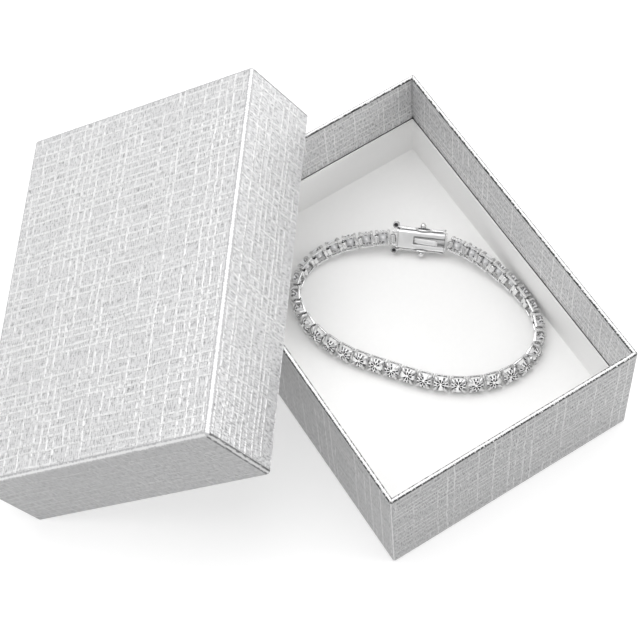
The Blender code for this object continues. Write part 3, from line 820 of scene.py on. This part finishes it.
def brilliant():
    bm = bmesh.new()
    eighth = math.cos(math.pi / 8)
    star_y = CROWN_H * (GIRDLE_R - STAR_R * eighth) / (GIRDLE_R - TABLE_R)
    lower_y = -PAVILION_H * (1 - LOWER_R * eighth / GIRDLE_R)

    def ring(count, radius, y, shift=0.0):
        turns = [2 * math.pi * (i + shift) / count for i in range(count)]
        return [bm.verts.new((radius * math.cos(t), GIRDLE_Y + y, radius * math.sin(t)))
                for t in turns]

    half = GIRDLE_T / 2
    table, stars = ring(8, TABLE_R, CROWN_H), ring(8, STAR_R, star_y, 0.5)
    upper, lower = ring(16, GIRDLE_R, half), ring(16, GIRDLE_R, -half)
    mains = ring(8, LOWER_R, lower_y, 0.5)
    culet = bm.verts.new((0, GIRDLE_Y - PAVILION_H, 0))
    bm.faces.new(table)
    for i in range(8):
        j, mid, end = (i + 1) % 8, 2 * i + 1, (2 * i + 2) % 16
        bm.faces.new((table[i], table[j], stars[i]))
        bm.faces.new((table[j], stars[i], upper[end], stars[j]))
        bm.faces.new((stars[i], upper[2 * i], upper[mid]))
        bm.faces.new((stars[i], upper[mid], upper[end]))
        bm.faces.new((mains[i], lower[2 * i], lower[mid]))
        bm.faces.new((mains[i], lower[mid], lower[end]))
        bm.faces.new((culet, mains[i], lower[end], mains[j]))
    for i in range(16):
        j = (i + 1) % 16
        bm.faces.new((upper[i], upper[j], lower[j], lower[i]))
    return gather("stone", [bm], [clear_stone], smooth=False)


stone_mesh = brilliant()
print("facets of a stone:", len(stone_mesh.polygons))

# %% [markdown]
# ## One link
#
# Two rails carry the four claws. Each claw rises past the girdle and folds over the crown, ending
# in a small bead. At one end of the link is a pin, and at the other a flat plate with the eye
# that goes round the neighbour's pin. All links and all stones share one mesh each, and every
# stone is turned by chance.

# %% Bend a claw
CLAW_INSET, CLAW_FOOT, CLAW_TAPER = 0.04 * MM, 0.3 * MM, 0.15


def claw(sx, sz):
    """The claw at one corner, from the rail up round the girdle and over the crown."""
    root_x, root_z = BASKET_X - CLAW_R - CLAW_INSET, BASKET_Z - CLAW_R - CLAW_INSET
    lean = (STONE_D / 2 + 0.9 * CLAW_R) / math.sqrt(2)
    over, hold = (0.47 * STONE_D) / math.sqrt(2), (0.41 * STONE_D) / math.sqrt(2)
    points = [Vector((sx * root_x, HINGE_Y - RAIL_T / 2 + CLAW_FOOT, sz * root_z)),
              Vector((sx * (root_x + lean) / 2, (HINGE_Y + GIRDLE_Y) / 2,
                      sz * (root_z + lean) / 2)),
              Vector((sx * lean, GIRDLE_Y, sz * lean)),
              Vector((sx * over, GIRDLE_Y + CROWN_H * 0.62, sz * over)),
              Vector((sx * hold, GIRDLE_Y + CROWN_H * 0.88, sz * hold))]
    smooth = curve_through(points, 3)
    radii = [CLAW_R * (1 - CLAW_TAPER * max(0, (p.y - GIRDLE_Y) / CROWN_H)) for p in smooth]
    made = wire(smooth, radii, 10)
    for face in made.faces:
        face.material_index = 1
    return made


# %% Build the link
inner, rail_y = BASKET_Z - RAIL_H, (HINGE_Y - RAIL_T / 2, HINGE_Y + RAIL_T / 2)
bridge_x = (BASKET_X - 0.75 * MM, BASKET_X - 0.35 * MM)
bridge_y, bridge_z = (HINGE_Y - 0.25 * MM, HINGE_Y + 0.25 * MM), inner + 0.1 * MM
tab_x, tab_y = bridge_x[0] + 0.1 * MM, (HINGE_Y - TAB_T / 2, HINGE_Y + TAB_T / 2)
pin_ends = [Vector((PIN_X, HINGE_Y, z)) for z in (-inner - RAIL_H / 2, inner + RAIL_H / 2)]
link_parts = [claw(sx, sz) for sx in (-1, 1) for sz in (-1, 1)]
for sz in (-1, 1):
    rail_z = sorted((sz * inner, sz * BASKET_Z))
    link_parts.append(bar((-BASKET_X, BASKET_X), rail_y, rail_z, RAIL_EDGE))
link_parts.append(wire(pin_ends, PIN_R, 12))
link_parts.append(bar(bridge_x, bridge_y, (-bridge_z, bridge_z)))
link_parts.append(bar((tab_x, EYE_X - EYE_IN - 0.06 * MM), tab_y, (-EYE_Z, EYE_Z)))
link_parts.append(eye((EYE_X, HINGE_Y), "z", -EYE_Z, EYE_Z, EYE_IN, EYE_OUT))
link_mesh = gather("link", link_parts, [link_silver, claw_silver])
print("faces of a link:", len(link_mesh.polygons))

# %% String the links
random.seed(7)
for i in range(LINKS):
    number = "%02d" % (i + 1)
    put("silver_link_" + number, link_mesh, places[i], "root", "link_" + number)
    spin = Matrix.Rotation(random.uniform(0, 2 * math.pi), 4, "Y")
    put("stone_" + number, stone_mesh, places[i] @ spin, "root", None)
print("links:", LINKS)

# %% [markdown]
# ## The clasp
#
# The clasp is a flat box. A folded spring leaf slides into it, and a thumb lip at the end of the
# leaf shows in the window. On each long edge a wire latch closes over a ball stud. The box is cut
# out of a solid bar with boolean modifiers and then bevelled. The modifiers are applied at once,
# so only a mesh is left.

# %% Carve and bevel
SHARP_CUT, BEVEL_FROM = math.radians(38), math.radians(28)


def carved(name, mesh, cutters, bevel, material):
    """Cut the cutters out of the mesh, soften its edges and smooth it."""
    holder, tools = show(name + "_raw", mesh), []
    for cutter in cutters:
        tool = show(name + "_cutter", gather("cutter", [cutter], [], smooth=False))
        cut = holder.modifiers.new("cut", "BOOLEAN")
        cut.operation, cut.object, cut.solver = "DIFFERENCE", tool, "EXACT"
        tools.append(tool)
    soft = holder.modifiers.new("bevel", "BEVEL")
    soft.width, soft.segments = bevel, 2
    soft.limit_method, soft.angle_limit = "ANGLE", BEVEL_FROM
    bpy.context.view_layer.update()
    state = bpy.context.evaluated_depsgraph_get()
    result = bpy.data.meshes.new_from_object(holder.evaluated_get(state))
    for obj in [holder] + tools:
        bpy.data.objects.remove(obj)
    result.name = name
    result.materials.clear()
    result.materials.append(material)
    for face in result.polygons:
        face.material_index, face.use_smooth = 0, True
    result.set_sharp_from_angle(angle=SHARP_CUT)
    return result


def prism(outline, low, high, axis="x"):
    """The outline, drawn out along the axis from low to high."""
    bm = bmesh.new()
    turn = {"x": lambda a, b, d: (d, a, b), "y": lambda a, b, d: (a, d, b),
            "z": lambda a, b, d: (a, b, d)}[axis]
    rings = [[bm.verts.new(turn(a, b, depth)) for a, b in outline] for depth in (low, high)]
    for i in range(len(outline)):
        j = (i + 1) % len(outline)
        bm.faces.new((rings[0][i], rings[0][j], rings[1][j], rings[1][i]))
    bm.faces.new(rings[0][::-1])
    bm.faces.new(rings[1])
    return bm


# %% Clasp box
def clasp_section(grow):
    """The outline of the box from its end, larger by grow."""
    back, front, top, c = CLASP_BACK - grow, CLASP_FRONT + grow, CLASP_Z + grow, CLASP_CHAMFER
    return [(back + c, -top), (front - c, -top), (front, -top + c), (front, top - c),
            (front - c, top), (back + c, top), (back, top - c), (back, -top + c)]


PAST = 1 * MM
open_end = CLASP_RIGHT + PAST
cavity = bar((CLASP_LEFT + CLASP_WALL, open_end),
             (CLASP_BACK + CLASP_WALL, CLASP_FRONT - CLASP_WALL),
             (CLASP_WALL - CLASP_Z, CLASP_Z - CLASP_WALL), 0)
window = bar((WINDOW_X, open_end), (CLASP_BACK - PAST, CLASP_BACK + CLASP_WALL + 0.2 * MM),
             (-WINDOW_Z, WINDOW_Z), 0)
solid = gather("raw", [prism(clasp_section(0), CLASP_LEFT, CLASP_RIGHT)], [], smooth=False)
body = carved("clasp_body", solid, [cavity, window], 0.06 * MM, box_silver)
put("clasp_body", body, clasp_place, "root", "clasp_box")
print("faces of the clasp box:", len(body.polygons))

# %% End plate, lugs and studs
LUG_R, LUG_FOOT, LUG_HALF, PIVOT_HALF = 0.5 * MM, 0.75 * MM, 0.25 * MM, 0.62 * MM
clasp_end, pin_reach = CLASP_SPAN / 2 + 0.4 * MM, BASKET_Z - 0.3 * MM
fittings = [prism(clasp_section(0.12 * MM), CLASP_LEFT - 0.05 * MM, CLASP_LEFT + 0.45 * MM)]
pivots = []
for sz in (-1, 1):
    rooted = sz * (CLASP_Z - 0.2 * MM)
    fittings.append(bar((-clasp_end, CLASP_LEFT + 0.2 * MM), rail_y,
                        sorted((sz * (BASKET_Z - RAIL_H), sz * BASKET_Z)), 0.12 * MM))
    foot = [(CLASP_LEFT + LUG_FOOT, rooted), (CLASP_LEFT, rooted)]
    head = [(LATCH_X + LUG_R * math.cos(math.radians(a)),
             sz * (LATCH_Z + LUG_R * math.sin(math.radians(a)))) for a in range(230, 0, -20)]
    fittings.append(prism(foot + head, -LUG_HALF, LUG_HALF, "y"))
    pivots.append(wire([Vector((LATCH_X, y, sz * LATCH_Z)) for y in (-PIVOT_HALF, PIVOT_HALF)],
                       LATCH_PIN_R, 16))
    fittings.append(wire([Vector((0, 0, z)) for z in (rooted, sz * STUD_Z)], STUD_NECK, 16, False))
    fittings.append(ball((0, 0, sz * STUD_Z), STUD_R))
fittings.append(wire([Vector((-CLASP_SPAN / 2, HINGE_Y, z)) for z in (-pin_reach, pin_reach)],
                     PIN_R, 12))
fitting_mesh = carved("clasp_fittings", gather("raw", fittings, []), [], 0.05 * MM, clasp_silver)
put("clasp_fittings", fitting_mesh, clasp_place, "root", "clasp_box")
pivot_mesh = gather("clasp_pivots", pivots, [dark_recess])
put("clasp_pivots", pivot_mesh, clasp_place, "root", "clasp_box")
print("faces of the fittings:", len(fitting_mesh.polygons) + len(pivot_mesh.polygons))

# %% [markdown]
# ## The spring leaf
#
# The leaf is one strip of silver. It starts at the plate, runs along the outer wall, folds back
# on itself near the closed end and comes out at the window as the thumb lip. A strip is drawn
# here as its middle line with half the thickness on either side.

# %% Leaf and plate of the tongue
PLAY, SUNK = 0.15 * MM, 0.25 * MM
front = CLASP_FRONT - CLASP_WALL - PLAY - LEAF_T / 2
fold, back = CLASP_LEFT + CLASP_WALL + 1.0 * MM, CLASP_BACK + CLASP_WALL / 2
path = [(PLATE_RIGHT - SUNK, front), (fold + 0.5 * MM, front), (fold, front - 0.3 * MM),
        (fold + 0.45 * MM, front - 0.65 * MM), (WINDOW_X, front - 1.0 * MM),
        (3.3 * MM, back + 0.1 * MM), (4.0 * MM, back - 0.05 * MM),
        (4.35 * MM, CLASP_BACK - 0.45 * MM)]
sides = ([], [])
for i, spot in enumerate(path):
    way = (Vector(path[min(i + 1, len(path) - 1)]) - Vector(path[max(i - 1, 0)])).normalized()
    across = Vector((-way.y, way.x)) * LEAF_T / 2
    sides[0].append(Vector(spot) + across)
    sides[1].append(Vector(spot) - across)
strip = prism([tuple(v) for v in sides[0] + sides[1][::-1]], PLAY - WINDOW_Z, 0.45 * MM, "z")
plate = bar((PLATE_RIGHT - 0.5 * MM, PLATE_RIGHT), (CLASP_BACK, CLASP_FRONT),
            (PLAY - CLASP_Z, CLASP_Z - PLAY), 0)
eye_z = 0.8 * EYE_Z
tab = bar((PLATE_RIGHT - SUNK, CLASP_SPAN / 2 - EYE_IN - 0.06 * MM), tab_y, (-eye_z, eye_z), 0)
loop = eye((CLASP_SPAN / 2, HINGE_Y), "z", -eye_z, eye_z, EYE_IN, EYE_OUT)
leaf = carved("clasp_tongue_leaf", gather("raw", [strip], []), [], 0.06 * MM, leaf_silver)
put("clasp_tongue_leaf", leaf, clasp_place, "root", "clasp_tongue")
holder = carved("clasp_tongue_plate", gather("raw", [plate, tab, loop], []), [], 0.06 * MM,
                clasp_silver)
put("clasp_tongue_plate", holder, clasp_place, "root", "clasp_tongue")
print("faces of the tongue:", len(leaf.polygons) + len(holder.polygons))

# %% [markdown]
# ## The safety latches
#
# Each latch is one loop of round wire. It starts at two eyes on the pivot pin, narrows, swells
# round the ball stud and narrows again to a raised tip for a fingernail. Half of the loop is
# given by a few points, and the other half is its mirror image. Each latch rides on its own body
# and swings open.

# %% Bend the latches
def latch():
    half, wide = LATCH_HALF, LATCH_BOW
    slim = half + 0.03 * MM
    shape = [(LATCH_X + 0.62 * MM, half, LATCH_Z - 0.25 * MM),
             (LATCH_X + 2.0 * MM, half, LATCH_LIE + 0.05 * MM),
             (-2.3 * MM, slim, LATCH_LIE), (-0.9 * MM, wide, LATCH_LIE),
             (0.9 * MM, wide, LATCH_LIE), (2.3 * MM, slim, LATCH_LIE),
             (LATCH_TIP - 1.6 * MM, 0.45 * MM, LATCH_LIE),
             (LATCH_TIP - 0.35 * MM, 0.3 * MM, LATCH_LIE + 0.3 * MM)]
    there = [Vector(p) for p in shape]
    tip = Vector((LATCH_TIP, 0, LATCH_LIE + 0.42 * MM))
    back = [Vector((p.x, -p.y, p.z)) for p in reversed(there)]
    parts = [wire(curve_through(there + [tip] + back, 4), LATCH_WIRE, 12)]
    for sy in (-1, 1):
        parts.append(eye((LATCH_X, LATCH_Z), "y", sy * half - LUG_HALF, sy * half + LUG_HALF,
                         LATCH_EYE_IN, LATCH_EYE_OUT))
    return gather("latch", parts, [latch_silver])


latch_mesh = latch()
put("latch_wire_top", latch_mesh, clasp_place, "latch_top", "latch_top")
turned_over = clasp_place @ Matrix.Rotation(math.pi, 4, "X")
put("latch_wire_bottom", latch_mesh, turned_over, "latch_bottom", "latch_bottom")
print("faces of a latch:", len(latch_mesh.polygons))

# %% [markdown]
# ## Table, light and camera
#
# The picture is a bright product shot: a white table, a big soft light from above and a smaller
# one from the front right. The table also glows a little, which washes out the far shadows as in
# such a shot. The sky is brighter above, to the right and behind, and the silver reflects it. The
# camera stands high and looks down over the corner of the base.

# %% Table
TABLE_HALF, TABLE_DROP = 3.0, 0.05 * MM
bm = bmesh.new()
bmesh.ops.create_grid(bm, x_segments=1, y_segments=1, size=TABLE_HALF)
table_mesh = bpy.data.meshes.new("table")
bm.to_mesh(table_mesh)
bm.free()
table = show("table", table_mesh)
table.location.z = -TABLE_DROP
tabletop = Finish("tabletop", (0.52, 0.52, 0.52), 0.6, 0.0)
tabletop.set("Emission Color", grey(1.0))
tabletop.set("Emission Strength", 0.55)
table_mesh.materials.append(tabletop.material)
print("table:", tabletop.material.name)


# %% Lamps
def soft_light(name, place, aim, size, power):
    """A round lamp. The places and its diameter are in metres, the power is in watts."""
    lamp = bpy.data.lights.new(name, "AREA")
    lamp.shape, lamp.size, lamp.energy = "DISK", size, power
    obj = show(name, lamp)
    obj.location = place
    obj.rotation_euler = (Vector(aim) - Vector(place)).to_track_quat("-Z", "Y").to_euler()
    print("lamp:", name, power, "W")


soft_light("overhead", (-0.08, 0.22, 0.9), (0.0, 0.0, 0.0), 1.0, 3.7)
soft_light("front_right", (0.8, -0.6, 0.5), (0.0, 0.0, 0.02), 0.6, 3.4)

# %% Sky
world = bpy.data.worlds.new("studio")
bpy.context.scene.world = world
world.use_nodes = True
tree = world.node_tree
sky, way = tree.nodes["Background"], tree.nodes.new("ShaderNodeSeparateXYZ")
feed(tree, sky.inputs["Color"], grey(1.0))
tree.links.new(tree.nodes.new("ShaderNodeTexCoord").outputs["Generated"], way.inputs[0])
right, away, rise = (Signal(tree, output) for output in way.outputs)
glow = 0.35 + 0.65 * rise.most(0.0).root()
feed(tree, sky.inputs["Strength"], glow * (1.0 + 0.40 * right + 0.28 * away))
bpy.context.scene.view_settings.view_transform = "Standard"
print("sky:", world.name)

# %% Camera
CAMERA_AT = Vector((-125.8, -207.0, 473.0)) * MM
CAMERA_AIM = Vector((-15.5, 20.1, 0.0)) * MM
CAMERA_ROLL = math.radians(-6.8)
FILM, FOCAL_PIXELS, PICTURE_PIXELS = 36.0, 1900, 640
eye_piece = bpy.data.cameras.new("camera")
eye_piece.sensor_width = FILM
eye_piece.lens = FILM * FOCAL_PIXELS / PICTURE_PIXELS
camera = show("camera", eye_piece)
aim = (CAMERA_AIM - CAMERA_AT).to_track_quat("-Z", "Y").to_matrix().to_4x4()
camera.matrix_world = Matrix.Translation(CAMERA_AT) @ aim @ Matrix.Rotation(CAMERA_ROLL, 4, "Z")
bpy.context.scene.camera = camera
print("focal length:", round(eye_piece.lens, 1), "mm")

# %% Update the scene
bpy.context.view_layer.update()
